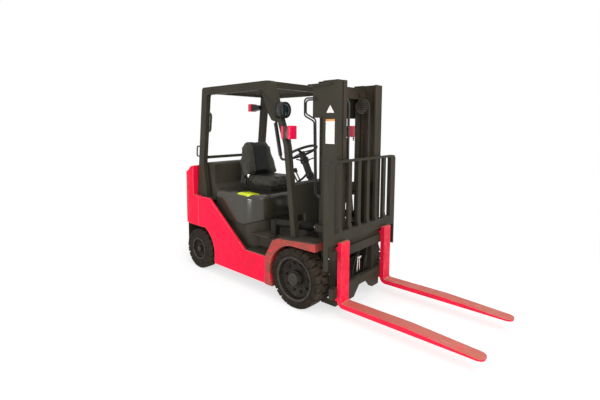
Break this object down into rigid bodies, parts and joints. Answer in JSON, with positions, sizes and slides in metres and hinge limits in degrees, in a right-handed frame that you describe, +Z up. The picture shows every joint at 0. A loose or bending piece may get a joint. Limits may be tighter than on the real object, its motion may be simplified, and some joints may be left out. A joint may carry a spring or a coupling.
{
  "type": "counterbalance forklift truck",
  "caption": "Red and charcoal engine-powered counterbalance forklift with a tilting lift mast, load backrest, forks, overhead guard and seat.",
  "frame": {"origin": "middle of the truck's length and width on the ground", "axes": "+X points forward along the forks, +Y to the driver's left, +Z up"},
  "size_m": [3.32, 1.12, 2.018],
  "materials": {
    "body_red": "semi-gloss",
    "dark_paint": "satin",
    "tread_plate": "rough",
    "tyre_rubber": "matt",
    "rim_paint": "dusty",
    "bright_rod": "polished",
    "chain_steel": "oiled",
    "dash_plastic": "grained",
    "seat_vinyl": "grained",
    "seat_frame": "satin",
    "engine_iron": "painted",
    "lamp_body": "gloss",
    "lamp_red": "gloss"
  },
  "bodies": {
    "chassis": {"drive_axle": "dark_paint", "steer_axle": "dark_paint", "frame": "dark_paint", "side_skirts": "body_red", "fenders": "body_red", "floor_plates": "tread_plate", "cowl": "dark_paint", "dashboard": "dash_plastic", "steering_column": "dash_plastic", "controls": "dash_plastic", "counterweight": "body_red", "counterweight_tail": "dark_paint", "radiator_cover": "dark_paint", "rear_deck": "dark_paint", "engine": "engine_iron", "guard_sides": "dark_paint", "guard_roof": "dark_paint", "handles": "dark_paint", "headlamps": "lamp_body", "indicators": "lamp_red", "tail_lamp": "lamp_red", "tail_lamp_case": "lamp_body", "tilt_brackets": "dark_paint"},
    "wheel_front_left": {"front_tyre_left": "tyre_rubber", "front_rim_left": "rim_paint"},
    "wheel_front_right": {"front_tyre_right": "tyre_rubber", "front_rim_right": "rim_paint"},
    "steer_knuckle_left": {"knuckle_left": "dark_paint"},
    "steer_knuckle_right": {"knuckle_right": "dark_paint"},
    "wheel_rear_left": {"rear_tyre_left": "tyre_rubber", "rear_rim_left": "rim_paint"},
    "wheel_rear_right": {"rear_tyre_right": "tyre_rubber", "rear_rim_right": "rim_paint"},
    "hand_wheel": {"steering_wheel": "dash_plastic"},
    "hood_lid": {"hood": "dark_paint", "seat_base": "seat_frame", "seat_cushion": "seat_vinyl", "seat_back": "seat_vinyl"},
    "mast_outer": {"outer_mast": "dark_paint", "lift_barrels": "dark_paint", "mast_hoses": "dash_plastic"},
    "mast_inner": {"inner_mast": "dark_paint", "lift_rods": "bright_rod", "chain_wheels": "chain_steel", "chain_front": "chain_steel", "chain_rear": "chain_steel"},
    "fork_carriage": {"carriage": "dark_paint", "backrest": "dark_paint", "fork_left": "body_red", "fork_right": "body_red"},
    "tilt_barrel_pair": {"tilt_barrels": "dark_paint"},
    "tilt_rod_pair": {"tilt_rods": "bright_rod"}
  },
  "joints": [
    {"name": "front_left_spin", "type": "hinge", "parent": "chassis", "child": "wheel_front_left", "pos_m": [0.164, 0.455, 0.266], "axis": [0, 1, 0], "continuous": true},
    {"name": "front_right_spin", "type": "hinge", "parent": "chassis", "child": "wheel_front_right", "pos_m": [0.164, -0.455, 0.266], "axis": [0, 1, 0], "continuous": true},
    {"name": "steer_right", "type": "hinge", "parent": "chassis", "child": "steer_knuckle_right", "pos_m": [-1.26, -0.355, 0.222], "axis": [0, 0, 1], "range_deg": [-70, 70]},
    {"name": "steer_left", "type": "hinge", "parent": "chassis", "child": "steer_knuckle_left", "pos_m": [-1.26, 0.355, 0.222], "axis": [0, 0, 1], "range_deg": [-70, 70]},
    {"name": "rear_left_spin", "type": "hinge", "parent": "steer_knuckle_left", "child": "wheel_rear_left", "pos_m": [-1.26, 0.46, 0.222], "axis": [0, 1, 0], "continuous": true},
    {"name": "rear_right_spin", "type": "hinge", "parent": "steer_knuckle_right", "child": "wheel_rear_right", "pos_m": [-1.26, -0.46, 0.222], "axis": [0, 1, 0], "continuous": true},
    {"name": "hand_wheel_turn", "type": "hinge", "parent": "chassis", "child": "hand_wheel", "pos_m": [-0.182, 0, 1.3], "axis": [-0.4395, 0, 0.8982], "continuous": true},
    {"name": "hood_open", "type": "hinge", "parent": "chassis", "child": "hood_lid", "pos_m": [-1.051, 0, 0.908], "axis": [0, -1, 0], "range_deg": [0, 40]},
    {"name": "mast_tilt", "type": "hinge", "parent": "chassis", "child": "mast_outer", "pos_m": [0.164, 0, 0.266], "axis": [0, 1, 0], "range_deg": [-10, 6]},
    {"name": "mast_lift", "type": "slide", "parent": "mast_outer", "child": "mast_inner", "axis": [0, 0, 1], "range_m": [-0.045, 1.455], "deforming": ["chain_rear"]},
    {"name": "carriage_lift", "type": "slide", "parent": "mast_inner", "child": "fork_carriage", "axis": [0, 0, 1], "range_m": [-0.045, 1.455], "deforming": ["chain_front"]},
    {"name": "tilt_barrel_swing", "type": "hinge", "parent": "chassis", "child": "tilt_barrel_pair", "pos_m": [-0.23, 0, 0.672], "axis": [0, 1, 0], "range_deg": [-6, 4]},
    {"name": "tilt_rod_slide", "type": "slide", "parent": "tilt_barrel_pair", "child": "tilt_rod_pair", "axis": [0.9967, 0, 0.0816], "range_m": [-0.085, 0.055]}
  ],
  "couplings": [
    {"joint": "steer_left", "follows": "steer_right", "ratio": 1},
    {"joint": "carriage_lift", "follows": "mast_lift", "ratio": 1},
    {"joint": "tilt_barrel_swing", "follows": "mast_tilt", "ratio": 0.3075},
    {"joint": "tilt_rod_slide", "follows": "mast_tilt", "m_per_rad": 0.442}
  ]
}
